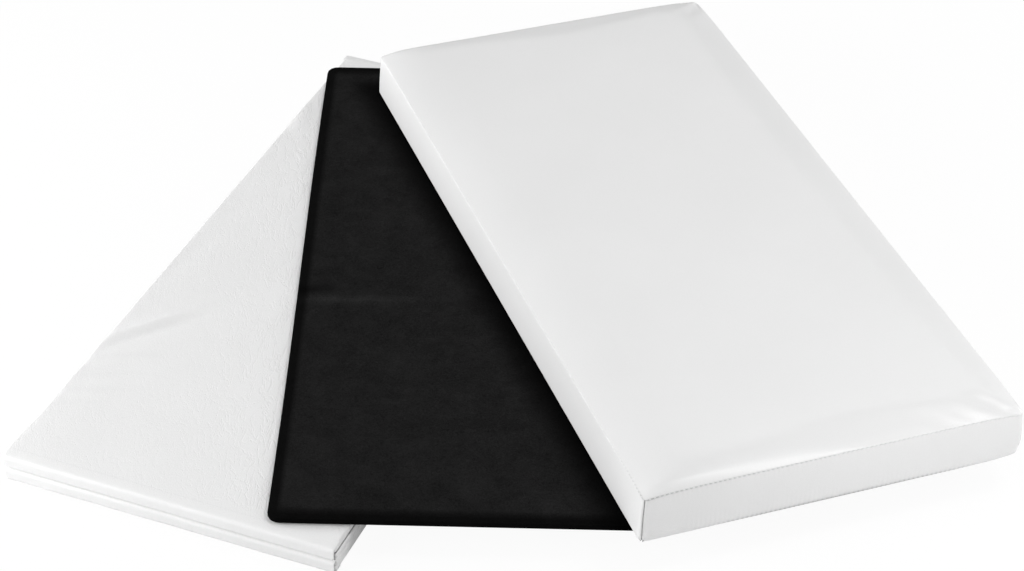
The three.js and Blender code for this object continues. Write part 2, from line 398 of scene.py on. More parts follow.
def paint(tree, shader, colour, tone):
    tinted = node(tree, "ShaderNodeVectorMath", {"operation": "SCALE"}, Scale=tone)
    tinted.inputs[0].default_value = colour
    feed(tree, tinted.outputs["Vector"], shader["Base Color"])


def bump(tree, shader, height, distance, **before):
    made = node(tree, "ShaderNodeBump", Strength=1.0, Distance=distance, Height=height, **before)
    feed(tree, made.outputs["Normal"], shader["Normal"])
    return made.outputs["Normal"]


def kept(tree, name, output):
    return node(tree, "ShaderNodeAttribute", {"attribute_name": name}).outputs[output]


def leather(
    name, colour, roughness, pebble, crease, share, depth, puckers=False, pull=1, turn=0, slack=0
):
    """Pull draws the grain out along one direction, and slack adds creases where it is marked"""
    made, tree, shader, place = start_material(name, Roughness=roughness, **LEATHER_COAT)
    drawn = {"Rotation": (0, 0, turn), "Scale": (1, pull, 1)}
    pulled = node(tree, "ShaderNodeMapping", {"vector_type": "TEXTURE"}, Vector=place, **drawn)
    if slack:
        share = maths(tree, "MULTIPLY_ADD", kept(tree, "slack", "Fac"), slack, share)
    sizes = {"Pebble_Size": pebble, "Crease_Size": crease, "Crease_Share": share}
    grain = place_group(tree, leather_grain, pulled.outputs["Vector"], **sizes)
    drift = place_group(tree, tone_drift, place, Size=0.12, Amount=0.05)
    tone = maths(tree, "ADD", drift["Tone"], maths(tree, "MULTIPLY", grain["Hollow"], HOLLOW_DARKENING))
    normal = bump(tree, shader, grain["Height"], depth)
    # Along the lid's seams: puckers as bump, and a dark line of painted shade taken off the colour
    if puckers:
        pinch = place_group(tree, seam_puckers, kept(tree, "seam", "Vector"))
        bump(tree, shader, pinch["Height"], PUCKER_DEPTH, Normal=normal)
        tone = maths(tree, "SUBTRACT", tone, maths(tree, "MULTIPLY", pinch["Line"], SEAM_SHADE_DARKNESS))
    paint(tree, shader, colour, tone)
    return made


def cloth(name, colour, fibre, mottle_size, spread, depth, flecks=1, tone_and_shade=False):
    made, tree, shader, place = start_material(name, Roughness=0.95, Specular_IOR_Level=0.02)
    weave = place_group(tree, cloth_fibres, place, Fibre_Size=fibre, Mottle_Size=mottle_size)
    swing = off_middle(tree, weave["Mottle"], spread)
    fleck = off_middle(tree, weave["Height"], flecks * spread)
    tone = maths(tree, "ADD", maths(tree, "ADD", swing, fleck), 1)
    # the sleeve's marked tone: darker along the hem, and painted shade beside the lid
    if tone_and_shade:
        tone = maths(tree, "MULTIPLY", tone, kept(tree, "sleeve_tone_shade", "Fac"))
    paint(tree, shader, colour, tone)
    bump(tree, shader, weave["Height"], depth)
    return made


def wood(name, colour, ring, spread, roughness):
    made, tree, shader, place = start_material(name, Roughness=roughness)
    turned = node(tree, "ShaderNodeMapping", Vector=place, Rotation=(0, 0, -LID_TURN))
    figure = place_group(tree, wood_grain, turned.outputs["Vector"], Ring_Size=ring)["Grain"]
    paint(tree, shader, colour, maths(tree, "ADD", off_middle(tree, figure, spread), 1))
    bump(tree, shader, figure, WOOD_RELIEF)
    return made


def fine_finish(name, colour, fibre, mottle_size, spread, least, depth, **constants):
    """For small things, such as thread and staples"""
    made, tree, shader, place = start_material(name, **constants)
    marks = place_group(tree, cloth_fibres, place, Fibre_Size=fibre, Mottle_Size=mottle_size)
    paint(tree, shader, colour, maths(tree, "MULTIPLY_ADD", marks["Mottle"], spread, least))
    bump(tree, shader, marks["Height"], depth)
    return made


print("four kinds of finish")

# %% Materials
lid_leather = leather(
    "Lid leather", (0.80,) * 3, roughness=0.38, pebble=0.9 * MM, crease=9 * MM, share=0.2,
    depth=0.02 * MM, puckers=True,
)
wall_leather = leather(
    "Wall leather", (0.84,) * 3, roughness=0.46, pebble=1.1 * MM, crease=9 * MM, share=1,
    depth=0.05 * MM, pull=3.2, turn=BOARD_TURN, slack=3.5,
)
black_cloth = cloth(
    "Black cloth", (0.0115,) * 3, fibre=1.6 * MM, mottle_size=24 * MM, spread=0.9, depth=0.25 * MM
)
sleeve_cloth = cloth(
    "Black sleeve cloth", (0.0118,) * 3, fibre=3.2 * MM, mottle_size=26 * MM, spread=1.1,
    depth=0.25 * MM, flecks=2.4, tone_and_shade=True,
)
wall_cloth = cloth(
    "Wall lining cloth", (0.045, 0.045, 0.048), fibre=1.2 * MM, mottle_size=18 * MM, spread=0.7,
    depth=0.2 * MM,
)
hardboard = wood("Hardboard", (0.26, 0.155, 0.08), ring=2.5 * MM, spread=0.7, roughness=0.7)
timber = wood("Frame timber", (0.60, 0.43, 0.25), ring=5 * MM, spread=0.6, roughness=0.6)
thread = fine_finish(
    "White thread", (0.78,) * 3, fibre=0.5 * MM, mottle_size=4 * MM, spread=0.2, least=0.85,
    depth=0.1 * MM, Roughness=0.55,
)
steel = fine_finish(
    "Staple steel", (0.62, 0.61, 0.59), fibre=0.8 * MM, mottle_size=6 * MM, spread=0.4, least=0.75,
    depth=0.05 * MM, Roughness=0.35, Metallic=1.0,
)
print("leathers", lid_leather.name, "and", wall_leather.name)

# %% [markdown]
# ## Stiff parts that are only seen through gaps
# Hardboard stiffeners, the board's core and the lid's timber frame are plain sawn boards, so the
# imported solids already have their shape. They only need their finishes.

# %% Boards and timber
plain_finishes = {
    "stiffener": hardboard,
    "board_core": hardboard,
    "lid_rail": timber,
    "lid_rib": timber,
    "lid_deck": timber,
}
for name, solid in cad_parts.items():
    for key, finish in plain_finishes.items():
        if key in name:
            solid.data.materials.clear()
            solid.data.materials.append(finish)
            print(name, "gets", finish.name)

# %% [markdown]
# ## Frame timber with eased corners
# The lid's leather is drawn round its frame, so the frame's outer corners are rounded off and its
# edges are eased, as any joiner would. The solids are square there. A copy of each solid has its
# points merged and its flat faces joined, and then only the corner edges get a wide bevel.

# %% Eased rails and deck
LID_CORNER = 6 * MM
FRAME_CORNER, ARRIS = 5.5 * MM, 0.5 * MM
SHARP = math.radians(60)


def eased(source, name):
    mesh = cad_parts[source].data.copy()
    mesh.name = name
    shape = bmesh.new()
    shape.from_mesh(mesh)
    bmesh.ops.remove_doubles(shape, verts=shape.verts, dist=0.01 * MM)
    bmesh.ops.dissolve_limit(shape, angle_limit=0.01, verts=shape.verts, edges=shape.edges)
    back = lid_place.inverted()
    corners = []
    for edge in shape.edges:
        a, b = (back @ v.co for v in edge.verts)
        stands = math.hypot(a.x - b.x, a.y - b.y) < 0.1 * MM
        if stands and abs(a.x) > lid_x - 2 * MM and abs(a.y) > lid_y - 2 * MM:
            corners.append(edge)
    bmesh.ops.bevel(shape, geom=corners, offset=FRAME_CORNER, segments=5, profile=0.5, affect="EDGES")
    sharp = [e for e in shape.edges if len(e.link_faces) == 2 and e.calc_face_angle() > SHARP]
    bmesh.ops.bevel(shape, geom=sharp, offset=ARRIS, segments=2, profile=0.5, affect="EDGES")
    shape.to_mesh(mesh)
    shape.free()
    mesh.materials.clear()
    mesh.materials.append(timber)
    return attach(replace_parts(add_object(name, mesh), source), "lid")


for part in ("rail_left", "rail_right", "deck"):
    piece = eased(f"lid_{part}", f"frame_{part}")
    print(piece.name, "has", len(piece.data.polygons), "faces")

# %% [markdown]
# ## The lid's seam
# The lid's top panel is sewn to four side panels. The seam is a shallow groove that runs round just
# under the shoulder, and it dips at each corner, where the thread pulls two panels together. One
# function gives the seam's height for both sides of it, so top and sides always meet. Another says
# how dark the painted shade in its groove is.

# %% Seam heights
lid_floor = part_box("lid_side_left")[0].z
lid_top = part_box("lid_top_cover")[1].z
PANEL_LEATHER = 1.2 * MM
seam_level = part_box("lid_top_cover")[0].z + PANEL_LEATHER
crown_height = lid_top - seam_level
SEAM_DIP, DIP_REACH = 3.8 * MM, 20 * MM
SEAM_GROOVE = 0.5 * MM
SEAM_LEAN, LEAN_REACH = 1.8 * MM, 90 * MM  # the cover sits a little high at the near end
# how far the seam's painted shade reaches along the near and the left side
LINE_REACH = (230 * MM, 50 * MM)


def seam_height(x, y):
    to_corner = np.hypot(lid_x - abs(x), lid_y - abs(y))
    lean = SEAM_LEAN * np.exp(-(y + lid_y) / LEAN_REACH)
    return seam_level + lean - SEAM_DIP * np.exp(-to_corner / DIP_REACH)


def seam_shade_strength(x, y):
    """How dark the painted shade in the seam's groove is: darkest at the near left corner, fading slowly
    along the near side and fast along the left
    """
    return np.exp(-np.hypot((x + lid_x) / LINE_REACH[0], (y + lid_y) / LINE_REACH[1]))


print("seam at", round(seam_level - lid_floor, 4), "above the lid's underside")

# %% [markdown]
# ## The cushion
# Foam on a deck board, with the top panel drawn over it: a low crown that falls off late and rolls
# over at the seam, gently on the left and more tightly on the other sides. It starts as a pad grid on
# the crown's rule. A cloth simulation then blows it up a little from inside while its seam and
# underside stay pinned, which gives leather's own tension. The points may only move a few
# millimetres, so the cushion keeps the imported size.

# %% Cushion before the simulation
CUSHION_LEDGE = 1.6 * MM
SHOULDERS = {"left": 28 * MM, "near": 13 * MM, "right": 11 * MM, "far": 11 * MM}
SHOULDER_POWER = 2.2
DOME = 1.2 * MM
SWELL_ROOM = 1.5 * MM  # left for the simulation to fill
CUSHION_ROLL, CUSHION_STEP = 24 * MM, 7 * MM  # the band of close grid lines, and the step inside it
cushion_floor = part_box("lid_deck")[1].z + 0.3 * MM


def fall(gap, side):
    """From 0 at the seam, which the padding meets at a slant, to 1 on the flat"""
    return 1 - np.clip(1 - gap / SHOULDERS[side], 0, 1) ** SHOULDER_POWER


def cushion_top(x, y, inset):
    across = fall(lid_x + x, "left") * fall(lid_x - x, "right")
    along = fall(lid_y + y, "near") * fall(lid_y - y, "far")
    dome = DOME * (1 - (x / lid_x) ** 2) * (1 - (y / lid_y) ** 2)
    return seam_height(x, y) + (crown_height - SWELL_ROOM - DOME) * across * along + dome


def cushion_under(x, y, inset):
    drop = np.clip((inset - CUSHION_LEDGE) / MM, 0, 1)
    return seam_height(x, y) * (1 - drop) + cushion_floor * drop


ledge_lines = (0.05 * MM, 0.15 * MM, CUSHION_LEDGE, CUSHION_LEDGE + MM)
cushion = pad(
    "lid_cushion", lid_place, lid_x, lid_y, LID_CORNER, CUSHION_ROLL, CUSHION_STEP,
    cushion_top, cushion_under, ledge_lines,
)
print("cushion starts with", len(cushion.data.vertices), "points")

# %% Simulation of the cushion
STRETCH = {
    "quality": 6,
    "mass": 0.4,
    "tension_stiffness": 12,
    "compression_stiffness": 12,
    "bending_stiffness": 1.5,
    "use_pressure": True,
    "uniform_pressure_force": 4.0,
    "vertex_group_mass": "pins",
}
SWELL_CAP = 3 * MM
FRAMES = 20


def blow_up(piece, free):
    start = np.array([v.co for v in piece.data.vertices])
    pins = piece.vertex_groups.new(name="pins")
    for index in np.flatnonzero(~free):
        pins.add([int(index)], 1.0, "REPLACE")
    inflate = piece.modifiers.new("Inflate", "CLOTH")
    for key, value in STRETCH.items():
        setattr(inflate.settings, key, value)
    inflate.settings.effector_weights.gravity = 0
    inflate.collision_settings.use_self_collision = False
    for frame_number in range(1, FRAMES + 1):
        scene.frame_set(frame_number)
    shaped = piece.evaluated_get(bpy.context.evaluated_depsgraph_get()).to_mesh()
    moved = np.array([v.co for v in shaped.vertices]) - start
    piece.modifiers.remove(inflate)
    piece.vertex_groups.remove(pins)
    reach = np.linalg.norm(moved, axis=1, keepdims=True)
    moved *= np.minimum(1, SWELL_CAP / np.maximum(reach, 1e-9))
    piece.data.vertices.foreach_set("co", (start + moved).ravel())
    piece.data.update()
    scene.frame_set(1)
    print(piece.name, "moved by up to", round(float(np.linalg.norm(moved, axis=1).max()) / MM, 2), "mm")


seat = local_points(cushion, lid_place)
seam_gap = np.minimum(lid_x - abs(seat[:, 0]), lid_y - abs(seat[:, 1]))
free_points = (seat[:, 2] > seam_height(seat[:, 0], seat[:, 1]) + 0.4 * MM) & (seam_gap > 0.1 * MM)
blow_up(cushion, free_points)
print("free points", int(free_points.sum()), "of", len(seat))

# %% Finish of the cushion
outline_pull = np.exp(-np.maximum(seam_gap, 0) / (0.35 * MM)) * (seat[:, 2] < seam_level + 2 * MM)
for vertex, pull in zip(cushion.data.vertices, outline_pull):
    inward = Vector((lid_place.translation.x, lid_place.translation.y, vertex.co.z)) - vertex.co
    vertex.co += inward.normalized() * float(pull) * SEAM_GROOVE
seam_run = np.maximum(lid_x - abs(seat[:, 0]), lid_y - abs(seat[:, 1]))  # from the nearest corner
above_seam = np.maximum(seat[:, 2] - seam_height(seat[:, 0], seat[:, 1]), 0)
to_seam = np.hypot(above_seam, np.maximum(seam_gap, 0))
mark(cushion, "seam", np.stack([seam_run, to_seam, seam_shade_strength(seat[:, 0], seat[:, 1])], -1))
smooth = cushion.modifiers.new("Smooth", "SUBSURF")
smooth.levels = smooth.render_levels = 1
smooth.boundary_smooth = "PRESERVE_CORNERS"
smooth.use_creases = False
cushion.data.materials.append(lid_leather)
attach(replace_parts(cushion, "lid_top_cover", "lid_foam"), "lid")
print("cushion has", len(cushion.data.polygons), "faces")

# %% [markdown]
# ## The lid's sides
# Four leather panels stand round the timber frame. Each turns in under the rails as a hem, and its
# ends are sewn to its neighbours in the middle of each round corner. A panel is a ribbon: one row of
# points follows the outline, and at each place a profile leads from the seam down the side, round the
# lower edge and in along the hem. A solidify modifier gives the leather its thickness.

# %% Outline and profile of a side panel
SIDE_TURNS = {side: k * UPRIGHT for k, side in enumerate(("near", "right", "far", "left"))}
HEM_WIDTH = 14 * MM
SIDE_BULGE = 0.5 * MM
SIDE_FLARE = 2.6 * MM  # the lower edge stands out, where the leather turns under the frame
LOWER_BEND = 1.5 * MM
MITRE = math.radians(45)


def outline_run(side):
    """Places and outward directions along one side, from corner middle to corner middle"""
    half, depth = (lid_x, lid_y) if side in ("near", "far") else (lid_y, lid_x)
    flat = half - LID_CORNER
    run = np.linspace(-flat, flat, max(2, round(2 * flat / (6 * MM))))
    arc = np.linspace(MITRE, 0, 7)[:-1]
    places = [(-flat - LID_CORNER * math.sin(a), LID_CORNER * math.cos(a), -a) for a in arc]
    places += [(u, LID_CORNER, 0.0) for u in run]
    places += [(flat + LID_CORNER * math.sin(a), LID_CORNER * math.cos(a), a) for a in arc[::-1]]
    return [(u, depth - LID_CORNER + v, a) for u, v, a in places], flat, depth


def side_profile(drop):
    """How far out and how high each row lies, from the seam down the side and in under the frame"""
    height = seam_level - lid_floor - drop
    shoulder = height - 1.2 * MM
    rows = [(-SEAM_GROOVE, height - 0.1 * MM), (-0.35 * SEAM_GROOVE, height - 0.5 * MM), (0, shoulder)]
    for share in np.linspace(0.06, 1, 10)[:-1]:
        out = SIDE_BULGE * math.sin(math.pi * share) + SIDE_FLARE * share
        rows.append((out, LOWER_BEND + (shoulder - LOWER_BEND) * (1 - share)))
    for k in range(5):
        angle = UPRIGHT * k / 4
        inward, height = LOWER_BEND * (1 - math.cos(angle)), LOWER_BEND * (1 - math.sin(angle))
        rows.append((SIDE_FLARE - inward, height))
    edge = SIDE_FLARE - LOWER_BEND
    rows += [(edge - (HEM_WIDTH + edge) * share, 0.0) for share in (0.1, 0.4, 0.7, 1.0)]
    return rows


print("a side panel has", len(side_profile(0)), "rows of points")

# %% Side panels
EDGE_SHADOW_ROW = 1.2 * MM  # the height of the painted shadow line at the lower edge, where the leather starts to turn under
EDGE_SHADOW_STRENGTH, EDGE_MIDDLE, EDGE_REACH = 0.9, 10 * MM, 125 * MM  # painted shadow under the near panel's lower edge, not at its ends
CORNER_TUCK, TUCK_REACH = 4 * MM, 16 * MM  # the lower edge rounds in at the near right corner
TUCK_HEIGHT = 20 * MM
PULL_REACH = 0.5 * MM  # how far the corner seam's groove reaches


def give_thickness(piece, thickness):
    wall = piece.modifiers.new("Leather thickness", "SOLIDIFY")
    wall.thickness = thickness
    wall.offset = -1


def side_panel(side):
    stations, flat, side_depth = outline_run(side)
    turned = Matrix.Rotation(SIDE_TURNS[side], 3, "Z")
    points, lines = [], []
    for u, depth, angle in stations:
        out = Vector((math.sin(angle), -math.cos(angle), 0))
        place = turned @ Vector((u, -depth, 0))
        drop = seam_level - float(seam_height(place.x, place.y))
        to_corner_seam = (MITRE - abs(angle)) * LID_CORNER + max(0.0, flat - abs(u))
        end_pull = SEAM_GROOVE * math.exp(-to_corner_seam / PULL_REACH)
        tuck = CORNER_TUCK * math.exp(-math.hypot(lid_x - place.x, lid_y + place.y) / TUCK_REACH)
        # a painted shadow line along the near panel's lower edge
        edge_shadow = 0
        if side == "near":
            edge_shadow = EDGE_SHADOW_STRENGTH * math.exp(-(((u - EDGE_MIDDLE) / EDGE_REACH) ** 4))
        seam_shade = float(seam_shade_strength(place.x, place.y))
        for reach, height in side_profile(drop):
            from_edge = abs(height - EDGE_SHADOW_ROW) / 2 + max(0.0, SIDE_FLARE - LOWER_BEND - reach)
            low_share = max(0.0, 1 - height / TUCK_HEIGHT) ** 2
            reach -= tuck * max(0.0, 1 + min(0.0, reach) / HEM_WIDTH) * low_share
            if height > 0:
                shifted = place + turned @ out * (reach - end_pull * (reach > -SEAM_GROOVE))
            else:
                mitred = u * (1 + reach / (flat + LID_CORNER))
                shifted = turned @ Vector((mitred, -(side_depth + reach), 0))
            points.append((shifted.x, shifted.y, lid_floor + height))
            from_seam = seam_level - lid_floor - drop - height
            from_line = min(to_corner_seam, from_seam)
            # the seam's groove gets painted shade, and the near panel's lower edge a painted shadow line
            strength = seam_shade if from_line < from_edge else edge_shadow
            lines.append((max(to_corner_seam, from_seam), min(from_line, from_edge), strength))
    rows = len(points) // len(stations)
    starts = [i * rows + j for i in range(len(stations) - 1) for j in range(rows - 1)]
    faces = [(a, a + 1, a + rows + 1, a + rows) for a in starts]
    panel = finish_mesh(f"lid_panel_{side}", points, faces, lid_place)
    mark(panel, "seam", np.array(lines))
    return panel


for side in SIDE_TURNS:
    panel = side_panel(side)
    give_thickness(panel, PANEL_LEATHER)
    panel.data.materials.append(lid_leather)
    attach(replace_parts(panel, f"lid_side_{side}"), "lid")
    print(panel.name, "has", len(panel.data.polygons), "faces")

# %% [markdown]
# ## Stitches and staples
# Both are one small shape repeated along a path, which Geometry Nodes do well: the path is resampled
# at the pitch, a shape is put on each point and turned along the path, and the copies are made real.
# Stitches lie in the groove of the seam round the top, while the corner seams are sewn from inside
# and show none. Staples hold the hem to the frame underneath.

# %% Geometry Nodes helpers
def geometry_tree(name, inputs):
    tree = bpy.data.node_groups.new(name, "GeometryNodeTree")
    tree.interface.new_socket("Geometry", in_out="INPUT", socket_type="NodeSocketGeometry")
    for title, value in inputs.items():
        kind = {int: "NodeSocketInt", float: "NodeSocketFloat"}.get(type(value), "NodeSocketMaterial")
        tree.interface.new_socket(title, in_out="INPUT", socket_type=kind).default_value = value
    tree.interface.new_socket("Geometry", in_out="OUTPUT", socket_type="NodeSocketGeometry")
    return tree, tree.nodes.new("NodeGroupInput").outputs, tree.nodes.new("NodeGroupOutput").inputs


def set_vector(tree, **parts):
    return node(tree, "ShaderNodeCombineXYZ", **parts).outputs["Vector"]


def repeat_along(tree, given, result, shape):
    """Puts the shape on a resampled path, turned along it and varied a little in size"""
    curve = node(tree, "GeometryNodeMeshToCurve", Mesh=given["Geometry"]).outputs[0]
    spots = node(
        tree, "GeometryNodeResampleCurve", {"mode": "LENGTH"}, Curve=curve, Length=given["Pitch"]
    )
    tangent = node(tree, "GeometryNodeInputTangent").outputs[0]
    turned = node(tree, "FunctionNodeAlignRotationToVector", {"axis": "X"}, Vector=tangent)
    varied = node(tree, "FunctionNodeRandomValue", {"data_type": "FLOAT"}, Seed=given["Seed"])
    feed(tree, maths(tree, "SUBTRACT", 1, given["Variation"]), varied.inputs[2])
    feed(tree, 1.0, varied.inputs[3])
    placed = node(
        tree,
        "GeometryNodeInstanceOnPoints",
        Points=spots.outputs[0],
        Instance=shape,
        Rotation=turned.outputs[0],
        Scale=varied.outputs[1],
    )
    real = node(tree, "GeometryNodeRealizeInstances", Geometry=placed.outputs[0])
    smooth = node(tree, "GeometryNodeSetShadeSmooth", Geometry=real.outputs[0])
    finished = node(
        tree, "GeometryNodeSetMaterial", Geometry=smooth.outputs[0], Material=given["Material"]
    )
    feed(tree, finished.outputs[0], result["Geometry"])


def grow(name, points, edges, tree, **values):
    """Runs a tree on a path of edges and keeps the result as a plain mesh"""
    path = bpy.data.meshes.new(f"{name}_path")
    path.from_pydata([tuple(p) for p in points], edges, [])
    piece = add_object(name, path)
    modifier = piece.modifiers.new("Repeat", "NODES")
    modifier.node_group = tree
    for socket in tree.interface.items_tree:
        if socket.in_out == "INPUT" and socket.name in values:
            modifier[socket.identifier] = values[socket.name]
    bpy.context.view_layer.update()
    shaped = piece.evaluated_get(bpy.context.evaluated_depsgraph_get())
    result = bpy.data.meshes.new_from_object(shaped)
    piece.modifiers.remove(modifier)
    piece.data = result
    print(name, "has", len(result.polygons), "faces")
    return piece


print("path helpers ready")

# %% Stitches
STITCH_PITCH, THREAD_DEPTH = 4.5 * MM, 0.55 * MM
stitch_sizes = {"Pitch": STITCH_PITCH, "Stitch Length": 2.8 * MM, "Stitch Width": 0.7 * MM}
stitch_tree, given, result = geometry_tree(
    "Stitches", {**stitch_sizes, "Variation": 0.12, "Seed": 4, "Material": thread}
)
ball = node(stitch_tree, "GeometryNodeMeshUVSphere", Segments=6, Rings=4, Radius=0.5)
width = given["Stitch Width"]
stretched = set_vector(stitch_tree, X=given["Stitch Length"], Y=width, Z=width)
drawn = node(stitch_tree, "GeometryNodeTransform", Geometry=ball.outputs["Mesh"], Scale=stretched)
repeat_along(stitch_tree, given, result, drawn.outputs["Geometry"])

loop = []
for side, turn in SIDE_TURNS.items():
    turned = Matrix.Rotation(turn, 3, "Z")
    for u, depth, angle in outline_run(side)[0][:-1]:
        sideways, inward = THREAD_DEPTH * math.sin(angle), THREAD_DEPTH * math.cos(angle)
        place = turned @ Vector((u - sideways, inward - depth, 0))
        place.z = float(seam_height(place.x, place.y))
        loop.append(lid_place @ place)
edges = [(i, (i + 1) % len(loop)) for i in range(len(loop))]
stitches = grow("lid_stitches", loop, edges, stitch_tree, Pitch=STITCH_PITCH)
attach(stitches, "lid")

# %% One staple
STAPLE_PITCH = 36 * MM
LEG_POWER = 14  # the higher, the sharper the bend between crown and leg
staple_sizes = {"Pitch": STAPLE_PITCH, "Crown Width": 10 * MM, "Wire": 0.35 * MM, "Leg": 1.5 * MM}
staple_tree, given, result = geometry_tree(
    "Staples", {**staple_sizes, "Variation": 0.04, "Seed": 9, "Material": steel}
)
half_width = maths(staple_tree, "MULTIPLY", given["Crown Width"], 0.5)
crown_line = node(
    staple_tree,
    "GeometryNodeMeshLine",
    {"mode": "END_POINTS"},
    Count=9,
    Start_Location=set_vector(staple_tree, X=maths(staple_tree, "MULTIPLY", half_width, -1)),
    Offset=set_vector(staple_tree, X=half_width),
)
position = node(staple_tree, "GeometryNodeInputPosition").outputs[0]
sideways = node(staple_tree, "ShaderNodeSeparateXYZ", Vector=position).outputs["X"]
from_middle = maths(staple_tree, "ABSOLUTE", maths(staple_tree, "DIVIDE", sideways, half_width))
leg_share = maths(staple_tree, "POWER", from_middle, LEG_POWER)
lift = set_vector(staple_tree, Z=maths(staple_tree, "MULTIPLY", leg_share, given["Leg"]))
bent = node(staple_tree, "GeometryNodeSetPosition", Geometry=crown_line.outputs["Mesh"], Offset=lift)
wire_path = node(staple_tree, "GeometryNodeMeshToCurve", Mesh=bent.outputs["Geometry"])
wire_round = node(staple_tree, "GeometryNodeCurvePrimitiveCircle", Resolution=6, Radius=given["Wire"])
wire = node(
    staple_tree,
    "GeometryNodeCurveToMesh",
    Curve=wire_path.outputs["Curve"],
    Profile_Curve=wire_round.outputs["Curve"],
    Fill_Caps=True,
)
repeat_along(staple_tree, given, result, wire.outputs["Mesh"])
print("staple tree has", len(staple_tree.nodes), "nodes")

# %% Staples
STAPLE_INSET, STAPLE_END = 8.5 * MM, 24 * MM
staple_level = lid_floor + 0.12 * MM
points, edges = [], []
for x_sign, y_sign in ((0, -1), (1, 0), (0, 1), (-1, 0)):
    along_x = x_sign == 0
    reach = (lid_x if along_x else lid_y) - STAPLE_END
    for u in (-reach, reach):
        x = u if along_x else x_sign * (lid_x - STAPLE_INSET)
        y = y_sign * (lid_y - STAPLE_INSET) if along_x else u
        points.append(lid_place @ Vector((x, y, staple_level)))
    edges.append((len(points) - 2, len(points) - 1))
staples = grow("lid_staples", points, edges, staple_tree, Pitch=STAPLE_PITCH)
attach(staples, "lid")

# %% [markdown]
# ## The dust cover
# A thin black cloth is stretched under the frame to close the lid from below. It is a sheet: one
# surface with a cloth's thickness, tight at the hem and very slightly loose between the ribs.

# %% Dust cover
dust_place, dust_x, dust_y = plan_of("lid_dust_cover", LID_TURN)
dust_low, dust_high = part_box("lid_dust_cover")
dust_middle = (dust_low.z + dust_high.z) / 2
CLOTH_EDGE, CLOTH_CORNER, CLOTH_STEP = 0.4 * MM, 2 * MM, 14 * MM
DUST_SLACK, SLACK_INSET = 0.15 * MM, 20 * MM


def dust_face(way):
    def level(x, y, inset):
        loose = DUST_SLACK * waves(x, y, 0.09, 1.3) * np.clip(inset / SLACK_INSET, 0, 1)
        return dust_middle + loose + way * (dust_high.z - dust_middle) * rolled(inset, CLOTH_EDGE)

    return level


dust = pad(
    "lid_dust_sheet", dust_place, dust_x, dust_y, CLOTH_CORNER, CLOTH_EDGE, CLOTH_STEP,
    dust_face(1), dust_face(-1),
)
dust.data.materials.append(black_cloth)
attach(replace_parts(dust, "lid_dust_cover"), "lid")
print("dust cover", round(2 * dust_x, 3), "by", round(2 * dust_y, 3))

# %% [markdown]
# ## The bottom board
# A thin board in a sewn cloth sleeve with round corners. The cloth is drawn tight, so its faces are
# flat and its edges small and soft. Where the cloth is a little too wide it lies in one long shallow
# crease across, near the middle. Its colour is darker along the hem and has painted shade beside the
# lid's outline, so that tone is kept at each point.

# %% Shape of the board's sleeve
board_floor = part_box("board_sleeve_under")[0].z
board_top_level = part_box("board_sleeve_top")[1].z
board_middle = (board_floor + board_top_level) / 2
BOARD_CORNER, BOARD_EDGE = 11 * MM, 2.2 * MM
CREASE_ALONG = -48 * MM
SIDE_SWAY, END_SLACK = 1.8 * MM, 1.5 * MM
EDGE_POWER = 9  # the higher, the closer to the edge the cloth starts to stand off


def board_fold(x, y, start, end, width, height):
    """A fold in mm: it starts so far from the sleeve's left edge and ends so far from its middle"""
    (x0, y0), (x1, y1) = start, end
    start, end = (x0 * MM - board_x, y0 * MM + CREASE_ALONG), (x1 * MM, y1 * MM + CREASE_ALONG)
    return fold(x, y, start, end, width * MM, height)


def board_relief(x, y):
    slow = 0.12 * MM * (waves(x, y, 0.08, 2.1) - 0.6)
    crease = board_fold(x, y, (-10, 0), (30, 6), 5, -0.45 * MM)
    below = board_fold(x, y, (-10, -9), (30, -3), 7, 0.35 * MM)
    slant = board_fold(x, y, (0, 8), (26 - board_x / MM, -9), 3, -0.4 * MM)
    return slow + crease + below + slant


def board_top(x, y, inset):
    rise = rolled(inset, BOARD_EDGE)
    return board_middle + (board_top_level - board_middle + board_relief(x, y)) * rise


def board_under(x, y, inset):
    return board_middle - (board_middle - board_floor) * rolled(inset, BOARD_EDGE)


def loosen(piece):
    """Lets the long sides swell towards the far end and the near end stand off, as loose cloth does"""
    back = board_place.inverted()
    for vertex in piece.data.vertices:
        seat = back @ vertex.co
        along, across = seat.y / board_y, seat.x / board_x
        side = SIDE_SWAY * across**EDGE_POWER * (0.5 + 0.5 * math.sin(0.9 * math.pi * along))
        end = END_SLACK * max(0.0, -along) ** EDGE_POWER
        vertex.co = board_place @ (seat + Vector((side, -end, 0)))


print("board is", round((board_top_level - board_floor) / MM, 1), "mm thick")

# %% Board sleeve
# the colour is darker along a band at the hem
HEM_BAND, HEM_FADE, HEM_TONE = 6 * MM, 7 * MM, 0.2
END_HEM_SHARE = 1.4  # the hem is this much wider at the short ends
# painted shade on the sleeve round the lid, darkest at the lid's outline
LID_SHADE_REACH, LID_SHADE_TONE = 40 * MM, 0.06
SLEEVE_STEP = 5 * MM


def eased_step(value):
    value = np.clip(value, 0, 1)
    return value * value * (3 - 2 * value)


